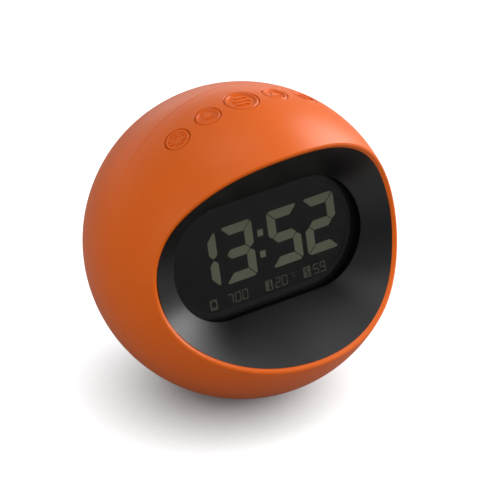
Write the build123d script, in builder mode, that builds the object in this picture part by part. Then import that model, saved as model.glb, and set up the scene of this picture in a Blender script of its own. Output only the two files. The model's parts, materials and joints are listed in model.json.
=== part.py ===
from build123d import *
import os
from math import asin, atan2, cos, degrees, radians, sin, sqrt

# Digital alarm clock in a ball-shaped housing. Millimetres, +Z up, the display looks
# towards -Y and up. The origin is the middle of the foot pad, on the table.
os.makedirs("parts", exist_ok=True)

# Ball housing
ball_radius = 56.5
wall = 2.0
base_cut = 3.6
base_floor = 2.4
lean = 15.0
seam_setback = 0.9
seam_break = 0.15
lip_height = 1.6
lip_gap = 0.15

# Rubber pad under the base
pad_radius = 12.5
pad_thickness = 1.6
pad_proud = 0.6
pad_gap = 0.1

# Opening in the front of the ball: half its width and height as shares of the ball's radius
opening_width_share = 0.915
opening_height_share = 0.68
opening_power = 2.2
rim_break = 0.5

# Bezel bowl and the window at its bottom, whose half sizes are shares of the ball's radius too
window_length_share = 0.708
window_height_share = 0.367
bowl_depth = 5.8
window_depth = 3.0
bezel_wall = 1.8
bezel_gap = 0.15
bezel_tuck = 0.35

# Lens, liquid crystal glass, light guide and the frame that stacks them
lens_thickness = 1.5
lens_margin = 2.0
lens_gap = 0.15
lcd_side_inset = 2.0
lcd_top_inset = 0.75
lcd_thickness = 2.0
lcd_gap = 0.2
lcd_air = 0.1
frame_wall = 3.8
frame_depth = 6.0
frame_corner = 3.0
zebra_width = 2.0
zebra_margin = 3.0
zebra_inset = 0.6
guide_thickness = 2.4
guide_gap = 0.4
guide_margin = 4.0

# Main circuit board and what is soldered to it
board_thickness = 1.6
chip_size = 12.0
chip_height = 1.4
chip_x = 12.0
crystal_radius = 1.0
crystal_length = 6.0
crystal_x = -8.0
solder_gap = 0.05
sensor_length = 3.2
sensor_width = 1.6
sensor_height = 1.0
sensor_inset_x = 12.0
sensor_inset_y = 6.0
led_length = 3.0
led_width = 1.2
led_height = 3.2
led_share = 0.4
led_gap = 0.3
connector_length = 12.0
connector_width = 4.0
connector_height = 2.6
connector_inset = 6.0
board_screw_radius = 1.0
board_screw_head_radius = 1.9
board_screw_head_height = 1.3
board_screw_bite = 2.4
screw_gap = 0.1

# Push buttons on the arc over the top
snooze_hole_radius = 6.35
small_hole_radius = 4.85
snooze_spacing = 0.55
small_spacing = 1.45
button_gap = 0.25
button_travel = 0.7
button_hole_break = 0.25
button_rim_width = 1.2
button_rim_break = 0.35
button_dish = 0.5
button_flange = 0.9
button_flange_gap = 0.2
button_flange_height = 1.0
button_stem_radius = 2.2
button_stem_length = 2.8

# Switches under the buttons, on a bent strip circuit and an arched bracket
switch_size = 6.0
switch_height = 3.5
plunger_radius = 1.7
plunger_proud = 1.0
plunger_hidden = 1.0
plunger_gap = 0.15
strip_thickness = 0.3
strip_width = 8.0
strip_end = 6.0
bracket_thickness = 2.0
bracket_width = 12.0
bracket_tab_reach = 8.9
bracket_tab_end = 5.0
bracket_post_radius = 2.8
bracket_screw_radius = 1.0
bracket_screw_head_radius = 1.9
bracket_screw_head_height = 1.3
bracket_screw_bite = 5.0

# Ribbon from the switch strip to the main board
ribbon_width = 7.0
ribbon_reach = 6.0
ribbon_bend = 2.0
ribbon_drop = 4.3
ribbon_lead_in = 6.0

# Screws that hold the two halves of the ball together
case_post_inset = 4.0
case_post_angle_upper = -32.0
case_post_angle_lower = -64.0
case_post_radius = 3.2
case_post_depth = 13.0
case_rib_thickness = 2.0
well_radius = 3.0
well_wall = 1.2
well_floor = 2.5
case_screw_radius = 1.2
case_screw_head_radius = 2.3
case_screw_head_height = 1.8
case_screw_bite = 8.0

# Battery compartment for three slim cells, and its door
cell_radius = 5.15
cell_length = 43.7
cell_nub_radius = 1.9
cell_nub_length = 0.8
cell_spacing = 0.7
cell_count = 3
cell_gap = 0.3
contact_thickness = 0.5
contact_dome = 1.2
contact_dome_radius = 2.4
contact_dome_taper = 40.0
contact_width = 8.0
contact_gap = 0.1
box_wall = 1.6
box_floor = 1.5
bay_depth = 24.5
box_flange = 3.2
box_flange_thickness = 1.5
box_corner = 3.0
box_gap = 0.15
door_margin = 2.2
door_corner = 6.0
door_gap = 0.25
tongue_width = 8.0
tongue_thickness = 1.2
tongue_length = 4.0
tongue_spread = 28.0
latch_width = 12.0
scoop_radius = 9.0
scoop_depth = 1.2
scoop_offset = 2.0

# Power inlet on one side of the back, sounder on the other
side_room = 3.5
side_drop = 8.0
inlet_pad_radius = 9.0
inlet_pad_depth = 3.2
plug_room = 2.3
inlet_pocket_floor = 2.4
socket_length = 7.5
socket_height = 2.7
socket_depth = 6.0
socket_skin = 0.35
socket_tongue_height = 0.6
socket_tongue_length = 4.8
socket_insert_depth = 1.0
socket_corner = 0.8
socket_gap = 0.15
power_board_length = 12.0
power_board_depth = 10.0
power_board_thickness = 1.2
shelf_length = 8.0
shelf_thickness = 1.5
sounder_radius = 10.0
sounder_height = 5.0
sounder_ring = 1.4
sounder_ring_depth = 3.4
sounder_vent_radius = 2.0
sound_hole_radius = 0.9
sound_hole_circle = 4.2
sound_hole_count = 6

# Insulated leads inside the ball
lead_radius = 0.65
lead_spacing = 3.0
lead_run = 8.0
battery_lead_start = 20.0
battery_lead_drop = 14.0
board_lead_inset = 10.0
side_lead_inset = 18.0
side_lead_up = 2.0

# The ball's own frame: front looks along the display axis, back looks the other way
ball_height = pad_proud + ball_radius - base_cut
ball_center = (0, 0, ball_height)
forward = Vector(0, -cos(radians(lean)), sin(radians(lean)))
front = Plane(origin=ball_center, x_dir=(1, 0, 0), z_dir=forward)
back = Plane(origin=ball_center, x_dir=(-1, 0, 0), z_dir=-forward)
arch = Plane(origin=ball_center, x_dir=(1, 0, 0), z_dir=(0, -1, 0))
flank = Plane(origin=ball_center, x_dir=(0, 1, 0), z_dir=(1, 0, 0))
meridian = Plane(origin=ball_center, x_dir=(1, 0, 0), z_dir=-front.y_dir)
seam = front.offset(-seam_setback)
sideways = Plane(origin=ball_center, x_dir=forward, z_dir=(1, 0, 0))
inner_radius = ball_radius - wall
middle = Vector(*ball_center)
opening_half_width = ball_radius * opening_width_share
opening_half_height = ball_radius * opening_height_share
window_half_length = ball_radius * window_length_share
window_half_height = ball_radius * window_height_share
window_forward = sqrt(ball_radius**2 - opening_half_width**2) - bowl_depth


def radial_plane(angle):
    """Plane through the ball's middle that looks out along the button at this angle."""
    lean_x = sin(radians(angle))
    lean_z = cos(radians(angle))
    return Plane(origin=ball_center, x_dir=(lean_z, 0, -lean_x), z_dir=(lean_x, 0, lean_z))


def section_plane(radial):
    """Plane that cuts a button along its axis: x is the distance from the axis, y the height."""
    return Plane(origin=ball_center, x_dir=radial.x_dir, z_dir=-radial.y_dir)


def side_plane(side):
    """Plane through the ball's middle that looks out at one side of the back."""
    turn = asin((box_inner_length / 2 + box_wall + sounder_radius + side_room) / sounder_seat)
    drop = radians(side_drop)
    outward = (side * sin(turn) * cos(drop), cos(turn) * cos(drop), -sin(drop))
    return Plane(origin=ball_center, x_dir=(-cos(turn), side * sin(turn), 0), z_dir=outward)


def at_radius(edges, radius):
    """Edges whose middle lies at this distance from the ball's middle."""
    near = 0.02
    return [edge for edge in edges if abs((edge @ 0.5 - middle).length - radius) < near]


def opening_reach(turn):
    """Distance from the display axis to the opening's outline, on the ball's surface."""
    wide = abs(cos(turn) / opening_half_width) ** opening_power
    high = abs(sin(turn) / opening_half_height) ** opening_power
    return (wide + high) ** (-1 / opening_power)


def opening_outline(level):
    """Outline, at this level, of the cut that runs from the ball's middle past the rim."""
    points = []
    steps = 24
    for step in range(steps):
        turn = radians(360 * (step + 0.5) / steps)
        reach = opening_reach(turn)
        grow = level / sqrt(ball_radius**2 - reach**2)
        points.append((reach * grow * cos(turn), reach * grow * sin(turn)))
    return points


def window_outline_point(s, half_length, half_height):
    """Point on the window's outline: right end, top edge, left end and bottom edge in turn."""
    side = int(s) % 4
    part = s - int(s)
    run = half_length - half_height
    if side == 1:
        return run * (1 - 2 * part), half_height
    if side == 3:
        return run * (2 * part - 1), -half_height
    turn = radians(180 * part - 90)
    sign = 1 if side == 0 else -1
    return sign * (run + half_height * cos(turn)), sign * half_height * sin(turn)


def bowl_point(s, grow, level):
    """Point at this level on the straight line from the window's edge past the opening's rim."""
    x, y = window_outline_point(s % 4, window_half_length + grow, window_half_height + grow)
    turn = atan2(y, x)
    reach = opening_reach(turn) * inner_radius / ball_radius + bezel_tuck + grow
    start = window_forward - grow
    stretch = (level - start) / (sqrt(inner_radius**2 - reach**2) - start)
    return Vector(x + (reach * cos(turn) - x) * stretch, y + (reach * sin(turn) - y) * stretch)


def bowl_solid(grow, level):
    """Straight-sided bowl from the window's outline, grown by this much, up to a level."""
    samples = 4
    tiny = 0.01
    with BuildPart() as bowl:
        with BuildSketch(front.offset(window_forward - grow)):
            SlotOverall(2 * (window_half_length + grow), 2 * (window_half_height + grow))
        with BuildSketch(front.offset(level)):
            with BuildLine():
                for side in range(4):
                    points = [bowl_point(side + i / samples, grow, level) for i in range(samples + 1)]
                    ends = []
                    for s in (side + 4, side + 5):
                        ends.append(bowl_point(s + tiny, grow, level) - bowl_point(s - tiny, grow, level))
                    Spline(*points, tangents=ends)
            make_face()
        loft(ruled=True)
    return bowl.part


def screw(seat, shank_radius, bite, head_radius, head_height):
    """Screw whose head rests on the seat plane and whose shank runs behind it."""
    with BuildPart() as one_screw:
        with BuildSketch(seat):
            Circle(head_radius)
        extrude(amount=head_height)
        with BuildSketch(seat):
            Circle(shank_radius)
        extrude(amount=-bite)
    return one_screw.part


def place(plane, x, y, height):
    """Copy of a plane moved to a point given in the plane's own axes."""
    return Plane(origin=plane.from_local_coords((x, y, height)), x_dir=plane.x_dir, z_dir=plane.z_dir)


# Levels that pieces share. Front and back levels run along the display axis.
lens_front = window_forward - window_depth
lens_back = lens_front - lens_thickness
frame_back = lens_back - frame_depth
board_back = frame_back - board_thickness
lcd_length = 2 * (window_half_length - lcd_side_inset)
lcd_height = 2 * (window_half_height - lcd_top_inset)
lcd_back = lens_back - lcd_air - lcd_thickness
guide_length = lcd_length - 2 * guide_margin
frame_half_length = lcd_length / 2 + lcd_gap + frame_wall
frame_half_height = lcd_height / 2 + lcd_gap + frame_wall
board_screw_x = frame_half_length - frame_wall / 2
board_screw_y = frame_half_height - frame_wall / 2
connector_up = frame_half_height - connector_inset
flange_top = sqrt(inner_radius**2 - (snooze_hole_radius + button_flange) ** 2) - button_flange_gap
flange_bottom = flange_top - button_flange_height
plunger_top = flange_bottom - button_stem_length
switch_top = plunger_top - plunger_proud
strip_top = switch_top - switch_height
bracket_top = strip_top - strip_thickness
bracket_bottom = bracket_top - bracket_thickness
snooze_pitch = snooze_hole_radius + small_hole_radius + 2 * button_flange + snooze_spacing
small_pitch = 2 * (small_hole_radius + button_flange) + small_spacing
inner_button_angle = degrees(2 * asin(snooze_pitch / (2 * flange_bottom)))
outer_button_angle = inner_button_angle + degrees(2 * asin(small_pitch / (2 * flange_bottom)))
bracket_tab_angle = outer_button_angle + degrees(bracket_tab_reach / bracket_top)
case_post_reach = inner_radius - case_post_inset
case_post_spots = []
for post_angle in (case_post_angle_upper, case_post_angle_lower):
    for post_side in (1, -1):
        post_x = post_side * case_post_reach * cos(radians(post_angle))
        case_post_spots.append((post_x, case_post_reach * sin(radians(post_angle))))
cell_pitch = 2 * cell_radius + cell_spacing
box_inner_length = cell_length + cell_nub_length + 2 * (contact_thickness + contact_dome + contact_gap)
box_inner_height = cell_pitch * (cell_count - 1) + 2 * (cell_radius + cell_gap)
door_length = box_inner_length + 2 * door_margin
door_height = box_inner_height + 2 * door_margin
box_back = inner_radius - bay_depth
cell_level = box_back + box_floor + cell_gap + cell_radius
sounder_seat = inner_radius - sounder_ring_depth
sounder_side = side_plane(1)
inlet = side_plane(-1)
inlet_face = ball_radius - inlet_pocket_floor
inlet_pad_back = inlet_face - inlet_pad_depth

# Name, angle from the top and hole radius of each button, left to right
button_list = [
    ("set", -outer_button_angle, small_hole_radius),
    ("down", -inner_button_angle, small_hole_radius),
    ("snooze", 0.0, snooze_hole_radius),
    ("up", inner_button_angle, small_hole_radius),
    ("light", outer_button_angle, small_hole_radius),
]

# Hollow inside of the ball, with the flat floor over the base
with BuildPart(front) as hollow:
    Sphere(inner_radius)
    split(bisect_by=Plane.XY.offset(pad_proud + base_floor), keep=Keep.TOP)

# Cut for the display opening: straight sides that all point at the ball's middle
with BuildPart() as opening_cut:
    for opening_level in (window_forward / 2, ball_radius + wall):
        with BuildSketch(front.offset(opening_level)):
            with BuildLine():
                Spline(*opening_outline(opening_level), periodic=True)
            make_face()
    loft(ruled=True)

# Fine groove that breaks both edges of the seam round the ball
with BuildPart() as seam_groove:
    with BuildSketch(meridian):
        with Locations((sqrt(ball_radius**2 - seam_setback**2), -seam_setback)):
            RegularPolygon(seam_break, 4)
    revolve(axis=Axis(ball_center, forward))

# Lip of the front half, which slips inside the rear half's wall above the base floor
with BuildPart() as seam_lip:
    with BuildSketch(meridian):
        with Locations((inner_radius + lip_gap, -seam_setback)):
            Rectangle(wall / 2 - 2 * lip_gap, 2 * lip_height, align=(Align.MIN, Align.CENTER))
    revolve(axis=Axis(ball_center, forward))
    split(bisect_by=Plane.XY.offset(pad_proud + base_floor), keep=Keep.TOP)

# Step in the rear half's wall that takes the lip
with BuildPart() as seam_step:
    with BuildSketch(meridian):
        with Locations((inner_radius - lip_gap, -seam_setback)):
            Rectangle(wall / 2 + lip_gap, 2 * (lip_height + lip_gap), align=(Align.MIN, Align.CENTER))
    revolve(axis=Axis(ball_center, forward))
    split(bisect_by=Plane.XY.offset(pad_proud + base_floor - lip_gap), keep=Keep.TOP)

# Posts and ribs inside the front half: four for the case screws, two for the switch bracket
with BuildPart() as front_posts:
    for post_x, post_y in case_post_spots:
        with BuildSketch(place(seam, post_x, post_y, 0)):
            Circle(case_post_radius)
        extrude(amount=case_post_depth)
        with BuildSketch(seam.offset(lip_height)):
            with Locations(Rotation(0, 0, degrees(atan2(post_y, post_x)))):
                with Locations((case_post_reach, 0)):
                    Rectangle(wall + inner_radius - case_post_reach, case_rib_thickness,
                              align=(Align.MIN, Align.CENTER))
        extrude(amount=case_post_depth - lip_height)
    for tab_angle in (-bracket_tab_angle, bracket_tab_angle):
        with BuildSketch(radial_plane(tab_angle).offset(bracket_top)):
            Circle(bracket_post_radius)
        extrude(amount=inner_radius + wall / 2 - bracket_top)
    with Locations(front):
        Sphere(inner_radius + wall / 2, mode=Mode.INTERSECT)

# Front half of the ball: opening, button holes, posts for screws, lip at the seam
with BuildPart() as front_shell:
    with Locations(front):
        Sphere(ball_radius)
    split(bisect_by=Plane.XY.offset(pad_proud), keep=Keep.TOP)
    add(hollow.part, mode=Mode.SUBTRACT)
    split(bisect_by=seam, keep=Keep.TOP)
    add(seam_groove.part, mode=Mode.SUBTRACT)
    add(opening_cut.part, mode=Mode.SUBTRACT)
    chamfer(at_radius(front_shell.edges(Select.LAST), ball_radius), rim_break)
    add(seam_lip.part)
    for button_name, button_angle, hole_radius in button_list:
        radial = radial_plane(button_angle)
        hole_edge = sqrt(ball_radius**2 - hole_radius**2) - button_hole_break
        with BuildSketch(section_plane(radial)):
            with BuildLine():
                Polyline(
                    (0, inner_radius - wall),
                    (hole_radius, inner_radius - wall),
                    (hole_radius, hole_edge),
                    (hole_radius + wall, hole_edge + wall),
                    (0, hole_edge + wall),
                    close=True,
                )
            make_face()
        revolve(axis=Axis(ball_center, radial.z_dir), mode=Mode.SUBTRACT)
    add(front_posts.part)
    for post_x, post_y in case_post_spots:
        with BuildSketch(place(seam, post_x, post_y, 0)):
            Circle(case_screw_radius + screw_gap)
        extrude(amount=case_screw_bite, mode=Mode.SUBTRACT)
    for tab_angle in (-bracket_tab_angle, bracket_tab_angle):
        with BuildSketch(radial_plane(tab_angle).offset(bracket_top)):
            Circle(bracket_screw_radius + screw_gap)
        extrude(amount=bracket_screw_bite, mode=Mode.SUBTRACT)
front_shell.part.label = "front_shell"
export_step(front_shell.part, "parts/front_shell.step")

# Tubes inside the rear half that lead to the case screws
with BuildPart() as rear_wells:
    for post_x, post_y in case_post_spots:
        with BuildSketch(place(seam, post_x, post_y, 0)):
            Circle(well_radius + well_wall)
        extrude(amount=-ball_radius)
    with Locations(front):
        Sphere(inner_radius + wall / 2, mode=Mode.INTERSECT)

# Pad and shelf inside the rear half behind the power inlet
with BuildPart() as inlet_pad:
    with BuildSketch(inlet.offset(inlet_pad_back)):
        Circle(inlet_pad_radius)
    extrude(amount=ball_radius - inlet_pad_back)
    with BuildSketch(inlet.offset(inlet_pad_back)):
        with Locations((0, -socket_height / 2 - power_board_thickness)):
            Rectangle(shelf_length, shelf_thickness, align=(Align.CENTER, Align.MAX))
    extrude(amount=-power_board_depth)
    with Locations(front):
        Sphere(inner_radius + wall / 2, mode=Mode.INTERSECT)

# Ring inside the rear half that the sounder is stuck to
with BuildPart() as sounder_collar:
    with BuildSketch(sounder_side.offset(sounder_seat)):
        Circle(sounder_radius)
        Circle(sounder_radius - sounder_ring, mode=Mode.SUBTRACT)
    extrude(amount=sounder_ring_depth + wall)
    with Locations(front):
        Sphere(inner_radius + wall / 2, mode=Mode.INTERSECT)

# Rear half of the ball: base, battery opening, screw wells, power inlet and sound holes
with BuildPart() as rear_shell:
    with Locations(front):
        Sphere(ball_radius)
    split(bisect_by=Plane.XY.offset(pad_proud), keep=Keep.TOP)
    add(hollow.part, mode=Mode.SUBTRACT)
    split(bisect_by=seam, keep=Keep.BOTTOM)
    add(seam_groove.part, mode=Mode.SUBTRACT)
    add(rear_wells.part)
    add(inlet_pad.part)
    add(sounder_collar.part)
    add(seam_step.part, mode=Mode.SUBTRACT)
    for post_x, post_y in case_post_spots:
        with BuildSketch(place(seam, post_x, post_y, -well_floor)):
            Circle(well_radius)
        extrude(amount=-ball_radius, mode=Mode.SUBTRACT)
        with BuildSketch(place(seam, post_x, post_y, 0)):
            Circle(case_screw_radius + screw_gap)
        extrude(amount=-well_floor, mode=Mode.SUBTRACT)
    with BuildSketch(back.offset(box_back)):
        RectangleRounded(door_length + 2 * door_gap, door_height + 2 * door_gap, door_corner + door_gap)
    extrude(amount=ball_radius, mode=Mode.SUBTRACT)
    with BuildSketch(inlet.offset(inlet_face)):
        SlotOverall(socket_length + 2 * plug_room, socket_height + 2 * plug_room)
    extrude(amount=ball_radius, mode=Mode.SUBTRACT)
    with BuildSketch(inlet.offset(inlet_pad_back)):
        RectangleRounded(socket_length + 2 * socket_gap, socket_height + 2 * socket_gap, socket_corner)
    extrude(amount=ball_radius, mode=Mode.SUBTRACT)
    with BuildSketch(sounder_side.offset(sounder_seat)):
        Circle(sound_hole_radius)
        with PolarLocations(sound_hole_circle, sound_hole_count):
            Circle(sound_hole_radius)
    extrude(amount=ball_radius, mode=Mode.SUBTRACT)
    with BuildSketch(Plane.XY.offset(pad_proud)):
        Circle(pad_radius + pad_gap)
    extrude(amount=pad_thickness - pad_proud, mode=Mode.SUBTRACT)
    scoop_turn = asin((door_height / 2 + scoop_offset) / ball_radius)
    scoop_lift = ball_radius + scoop_radius - scoop_depth
    with Locations(place(back, 0, scoop_lift * sin(scoop_turn), scoop_lift * cos(scoop_turn))):
        Sphere(scoop_radius, mode=Mode.SUBTRACT)
rear_shell.part.label = "rear_shell"
export_step(rear_shell.part, "parts/rear_shell.step")

# Soft pad that the clock stands on
with BuildPart() as foot_pad:
    with BuildSketch():
        Circle(pad_radius)
    extrude(amount=pad_thickness)
    chamfer(foot_pad.edges().group_by(Axis.Z)[0], pad_proud / 2)
foot_pad.part.label = "foot_pad"
export_step(foot_pad.part, "parts/foot_pad.step")

# Dark bezel: bowl, window wall, pocket for the lens and a back flange for the frame
with BuildPart() as display_bezel:
    add(bowl_solid(bezel_wall, ball_radius))
    with Locations(front):
        Sphere(inner_radius - bezel_gap, mode=Mode.INTERSECT)
    with BuildSketch(front.offset(lens_back)):
        RectangleRounded(2 * frame_half_length, 2 * frame_half_height, frame_corner)
    extrude(amount=bezel_wall + lens_thickness)
    with BuildSketch(front.offset(lens_back)):
        SlotOverall(2 * (window_half_length + bezel_wall), 2 * (window_half_height + bezel_wall))
    extrude(amount=window_forward - lens_back)
    add(bowl_solid(0, ball_radius), mode=Mode.SUBTRACT)
    with BuildSketch(front.offset(lens_front)):
        SlotOverall(2 * window_half_length, 2 * window_half_height)
    extrude(amount=window_depth, mode=Mode.SUBTRACT)
    with BuildSketch(front.offset(lens_back)):
        SlotOverall(2 * (window_half_length + lens_margin + lens_gap),
                    2 * (window_half_height + lens_margin + lens_gap))
    extrude(amount=lens_thickness, mode=Mode.SUBTRACT)
    for screw_x in (-board_screw_x, board_screw_x):
        for screw_y in (-board_screw_y, board_screw_y):
            with BuildSketch(place(front, screw_x, screw_y, lens_back)):
                Circle(board_screw_radius + screw_gap)
            extrude(amount=board_screw_bite, mode=Mode.SUBTRACT)
display_bezel.part.label = "display_bezel"
export_step(display_bezel.part, "parts/display_bezel.step")

# Smoked window, set in from behind
with BuildPart() as display_lens:
    with BuildSketch(front.offset(lens_back)):
        SlotOverall(2 * (window_half_length + lens_margin), 2 * (window_half_height + lens_margin))
    extrude(amount=lens_thickness)
display_lens.part.label = "display_lens"
export_step(display_lens.part, "parts/display_lens.step")

# Liquid crystal glass against the lens
with BuildPart() as lcd_panel:
    with BuildSketch(front.offset(lcd_back)):
        Rectangle(lcd_length, lcd_height)
    extrude(amount=lcd_thickness)
lcd_panel.part.label = "lcd_panel"
export_step(lcd_panel.part, "parts/lcd_panel.step")

# Clear plate that spreads the backlight behind the glass
zebra_y = lcd_height / 2 - zebra_inset - zebra_width / 2
with BuildPart() as light_guide:
    with BuildSketch(front.offset(lcd_back)):
        Rectangle(guide_length, 2 * (zebra_y - zebra_width / 2 - guide_gap))
    extrude(amount=-guide_thickness)
light_guide.part.label = "light_guide"
export_step(light_guide.part, "parts/light_guide.step")

# Striped rubber strips that join the glass to the board, above and below the light guide
with BuildPart() as zebra_strips:
    with BuildSketch(front.offset(frame_back)):
        with Locations((0, zebra_y), (0, -zebra_y)):
            Rectangle(lcd_length - 2 * zebra_margin, zebra_width)
    extrude(amount=lcd_back - frame_back)
zebra_strips.part.label = "zebra_strips"
export_step(zebra_strips.part, "parts/zebra_strips.step")

# Lamps at both ends of the light guide
with BuildPart() as backlight_leds:
    led_x = guide_length / 2 + led_gap + led_width / 2
    with BuildSketch(front.offset(frame_back)):
        with GridLocations(2 * led_x, led_share * lcd_height, 2, 2):
            Rectangle(led_width, led_length)
    extrude(amount=led_height)
backlight_leds.part.label = "backlight_leds"
export_step(backlight_leds.part, "parts/backlight_leds.step")

# Frame that stacks the glass between the bezel and the board
with BuildPart() as lcd_frame:
    with BuildSketch(front.offset(frame_back)):
        RectangleRounded(2 * frame_half_length, 2 * frame_half_height, frame_corner)
        Rectangle(lcd_length + 2 * lcd_gap, lcd_height + 2 * lcd_gap, mode=Mode.SUBTRACT)
        with GridLocations(2 * board_screw_x, 2 * board_screw_y, 2, 2):
            Circle(board_screw_radius + screw_gap, mode=Mode.SUBTRACT)
    extrude(amount=frame_depth)
lcd_frame.part.label = "lcd_frame"
export_step(lcd_frame.part, "parts/lcd_frame.step")

# Main circuit board behind the frame
with BuildPart() as main_board:
    with BuildSketch(front.offset(board_back)):
        RectangleRounded(2 * frame_half_length, 2 * frame_half_height, frame_corner)
        with GridLocations(2 * board_screw_x, 2 * board_screw_y, 2, 2):
            Circle(board_screw_radius + screw_gap, mode=Mode.SUBTRACT)
    extrude(amount=board_thickness)
main_board.part.label = "main_board"
export_step(main_board.part, "parts/main_board.step")

# Clock chip under its drop of resin
with BuildPart() as clock_chip:
    with BuildSketch(place(front, chip_x, 0, board_back)):
        Circle(chip_size / 2)
    extrude(amount=-chip_height)
    chamfer(clock_chip.edges().sort_by(Axis(ball_center, forward))[0], chip_height / 2)
clock_chip.part.label = "clock_chip"
export_step(clock_chip.part, "parts/clock_chip.step")

# Quartz crystal lying on the board
with BuildPart() as quartz_crystal:
    crystal_spot = front.from_local_coords((crystal_x, 0, board_back - crystal_radius - solder_gap))
    with BuildSketch(Plane(origin=crystal_spot, x_dir=front.y_dir, z_dir=front.x_dir)):
        Circle(crystal_radius)
    extrude(amount=crystal_length / 2, both=True)
quartz_crystal.part.label = "quartz_crystal"
export_step(quartz_crystal.part, "parts/quartz_crystal.step")

# Temperature sensor near the lower edge of the board
with BuildPart() as temperature_sensor:
    sensor_x = frame_half_length - sensor_inset_x
    sensor_y = frame_half_height - sensor_inset_y
    with BuildSketch(place(front, -sensor_x, -sensor_y, board_back)):
        Rectangle(sensor_length, sensor_width)
    extrude(amount=-sensor_height)
temperature_sensor.part.label = "temperature_sensor"
export_step(temperature_sensor.part, "parts/temperature_sensor.step")

# Connector for the ribbon from the buttons
with BuildPart() as ribbon_connector:
    with BuildSketch(place(front, 0, connector_up, board_back)):
        Rectangle(connector_length, connector_width)
    extrude(amount=-connector_height)
ribbon_connector.part.label = "ribbon_connector"
export_step(ribbon_connector.part, "parts/ribbon_connector.step")

# Four screws through the board and the frame into the bezel
with BuildPart() as board_screws:
    for screw_x in (-board_screw_x, board_screw_x):
        for screw_y in (-board_screw_y, board_screw_y):
            add(screw(place(back, screw_x, screw_y, -board_back), board_screw_radius,
                      board_thickness + frame_depth + board_screw_bite - screw_gap,
                      board_screw_head_radius, board_screw_head_height))
board_screws.part.label = "board_screws"
export_step(board_screws.part, "parts/board_screws.step")

# Buttons: a dished cap flush with the ball, a flange inside the wall and a stem,
# with the switch plunger that each stem rests on
for button_name, button_angle, hole_radius in button_list:
    radial = radial_plane(button_angle)
    cap_radius = hole_radius - button_gap
    crest_radius = cap_radius - button_rim_width / 2
    crest = sqrt(ball_radius**2 - crest_radius**2)
    stem_end = radial.offset(plunger_top)
    with BuildPart() as button:
        with BuildSketch(section_plane(radial)):
            with BuildLine():
                Polyline(
                    (0, ball_radius - button_dish),
                    (0, plunger_top),
                    (button_stem_radius, plunger_top),
                    (button_stem_radius, flange_bottom),
                    (hole_radius + button_flange, flange_bottom),
                    (hole_radius + button_flange, flange_top),
                    (cap_radius, flange_top),
                    (cap_radius, crest - button_rim_break),
                    (cap_radius - button_rim_break, crest),
                    (cap_radius - button_rim_width + button_rim_break, crest),
                    (cap_radius - button_rim_width, crest - button_dish),
                    close=True,
                )
            make_face()
        revolve(axis=Axis(ball_center, radial.z_dir))
    button.part.label = f"{button_name}_button"
    export_step(button.part, f"parts/{button_name}_button.step")
    with BuildPart() as plunger:
        with BuildSketch(stem_end):
            Circle(plunger_radius)
        extrude(amount=-plunger_proud - plunger_hidden)
    plunger.part.label = f"{button_name}_plunger"
    export_step(plunger.part, f"parts/{button_name}_plunger.step")

# Push switches, one under each button
with BuildPart() as button_switches:
    for button_name, button_angle, hole_radius in button_list:
        radial = radial_plane(button_angle)
        with BuildSketch(radial.offset(strip_top)):
            Rectangle(switch_size, switch_size)
        extrude(amount=switch_height)
        with BuildSketch(radial.offset(switch_top)):
            Circle(plunger_radius + plunger_gap)
        extrude(amount=-plunger_hidden - button_travel - plunger_gap, mode=Mode.SUBTRACT)
button_switches.part.label = "button_switches"
export_step(button_switches.part, "parts/button_switches.step")


def arch_points(angles, end, radius):
    """Corners of a band of flats that face these angles at this distance from the middle."""
    stops = [(angles[0] - end, end)]
    for one, two in zip(angles, angles[1:]):
        stops.append(((one + two) / 2, (two - one) / 2))
    stops.append((angles[-1] + end, end))
    points = []
    for turn, half in stops:
        reach = radius / cos(radians(half))
        points.append((reach * sin(radians(turn)), reach * cos(radians(turn))))
    return points


button_angles = [button_angle for button_name, button_angle, hole_radius in button_list]

# Bent strip circuit that carries the switches
with BuildPart() as switch_strip:
    with BuildSketch(arch):
        with BuildLine():
            strip_under = arch_points(button_angles, strip_end, bracket_top)
            Polyline(*arch_points(button_angles, strip_end, strip_top), *reversed(strip_under), close=True)
        make_face()
    extrude(amount=strip_width / 2, both=True)
switch_strip.part.label = "switch_strip"
export_step(switch_strip.part, "parts/switch_strip.step")

# Arched bracket under the strip, screwed to two posts of the front half
with BuildPart() as switch_bracket:
    bracket_angles = [-bracket_tab_angle, *button_angles, bracket_tab_angle]
    with BuildSketch(arch):
        with BuildLine():
            bracket_under = arch_points(bracket_angles, bracket_tab_end, bracket_bottom)
            Polyline(*arch_points(bracket_angles, bracket_tab_end, bracket_top), *reversed(bracket_under),
                     close=True)
        make_face()
    extrude(amount=bracket_width / 2, both=True)
    for tab_angle in (-bracket_tab_angle, bracket_tab_angle):
        with BuildSketch(radial_plane(tab_angle).offset(bracket_top)):
            Circle(bracket_screw_radius + screw_gap)
        extrude(amount=-bracket_thickness, mode=Mode.SUBTRACT)
switch_bracket.part.label = "switch_bracket"
export_step(switch_bracket.part, "parts/switch_bracket.step")

# Two screws that hold the bracket
with BuildPart() as bracket_screws:
    for tab_angle in (-bracket_tab_angle, bracket_tab_angle):
        under = radial_plane(tab_angle).offset(bracket_bottom)
        inward = Plane(origin=under.origin, x_dir=under.x_dir, z_dir=-under.z_dir)
        add(screw(inward, bracket_screw_radius, bracket_thickness + bracket_screw_bite - screw_gap,
                  bracket_screw_head_radius, bracket_screw_head_height))
bracket_screws.part.label = "bracket_screws"
export_step(bracket_screws.part, "parts/bracket_screws.step")

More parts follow.
